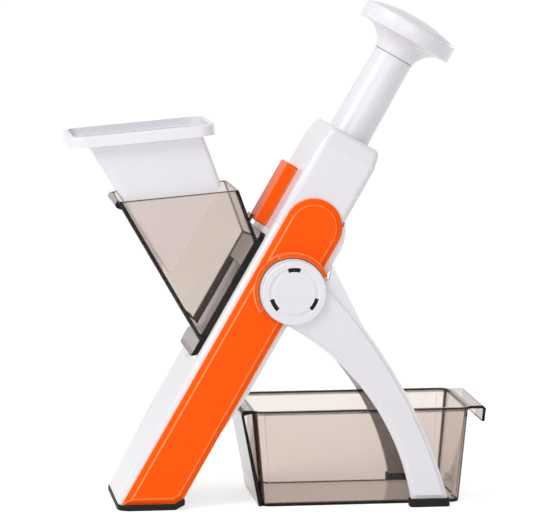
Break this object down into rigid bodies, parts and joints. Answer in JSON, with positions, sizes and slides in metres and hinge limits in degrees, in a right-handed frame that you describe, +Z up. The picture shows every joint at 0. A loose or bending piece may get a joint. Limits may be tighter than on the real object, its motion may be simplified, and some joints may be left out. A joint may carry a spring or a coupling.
{
  "type": "manual vegetable slicer",
  "caption": "Leaning press slicer: a spring-returned knob drives a blade carriage past a slanted clear hopper with a pusher, on a rubber foot and folding rear legs, with a catch tray.",
  "frame": {"origin": "on the floor, in the middle of the rubber foot's sole under the tower", "axes": "+X to the rear, where the legs and the tray stand; +Y to the slicer's left side; +Z up"},
  "size_m": [0.3132, 0.1228, 0.3769],
  "materials": {
    "white_plastic": "moulded, glossy",
    "orange_plastic": "moulded, satin gloss",
    "smoke_plastic": "clear, smoke tinted",
    "black_rubber": "matt",
    "grey_nylon": "matt, self-lubricating",
    "steel": "bright drawn steel",
    "blade_steel": "ground stainless steel"
  },
  "bodies": {
    "body": {"main_housing": "white_plastic", "tower_cover": "white_plastic", "rear_cover": "white_plastic", "rear_cover_screws": "steel", "shaft_bush": "grey_nylon", "side_panel_right": "orange_plastic", "side_panel_left": "orange_plastic", "body_foot": "black_rubber", "guide_rod_right": "steel", "guide_rod_left": "steel", "return_spring_right": "steel", "return_spring_left": "steel", "pivot_stub_right": "grey_nylon", "pivot_stub_left": "grey_nylon", "pivot_washer_right": "grey_nylon", "pivot_washer_left": "grey_nylon", "pivot_retainer_right": "steel", "pivot_retainer_left": "steel", "pivot_screw_right": "steel", "pivot_screw_left": "steel", "latch_spring": "steel"},
    "handle": {"handle_shaft": "white_plastic", "handle_knob": "white_plastic", "handle_screw": "steel", "blade_carriage": "white_plastic", "slicing_blade": "blade_steel", "julienne_blades": "blade_steel", "blade_screws": "steel"},
    "hopper": {"hopper": "smoke_plastic"},
    "pusher": {"pusher": "white_plastic"},
    "latch": {"latch": "orange_plastic"},
    "leg_right": {"leg_right": "white_plastic", "hub_cap_right": "white_plastic", "hub_ring_right": "black_rubber", "leg_shoe_right": "black_rubber"},
    "leg_left": {"leg_left": "white_plastic", "hub_cap_left": "white_plastic", "hub_ring_left": "black_rubber", "leg_shoe_left": "black_rubber"},
    "tray": {"tray": "smoke_plastic"}
  },
  "joints": [
    {"name": "press", "type": "slide", "parent": "body", "child": "handle", "axis": [-0.5, 0, -0.866], "range_m": [0, 0.062], "stiffness_N_per_m": 150, "springref_m": -0.04, "deforming": ["return_spring_right", "return_spring_left"]},
    {"name": "hopper_tilt", "type": "hinge", "parent": "body", "child": "hopper", "pos_m": [0.03621, 0, 0.11431], "axis": [0, -1, 0], "range_deg": [0, 40]},
    {"name": "pusher_slide", "type": "slide", "parent": "hopper", "child": "pusher", "axis": [0.5, 0, -0.866], "range_m": [-0.075, 0.043]},
    {"name": "latch_slide", "type": "slide", "parent": "body", "child": "latch", "axis": [0.5, 0, 0.866], "range_m": [0, 0.006], "stiffness_N_per_m": 400, "springref_m": -0.003, "deforming": ["latch_spring"]},
    {"name": "leg_right_fold", "type": "hinge", "parent": "body", "child": "leg_right", "pos_m": [0.1052, -0.0527, 0.1638], "axis": [0, 1, 0], "range_deg": [0, 63]},
    {"name": "leg_left_fold", "type": "hinge", "parent": "body", "child": "leg_left", "pos_m": [0.1052, 0.0527, 0.1638], "axis": [0, 1, 0], "range_deg": [0, 63]},
    {"name": "tray_slide", "type": "slide", "parent": "body", "child": "tray", "axis": [1, 0, 0], "range_m": [0, 0.18]}
  ]
}
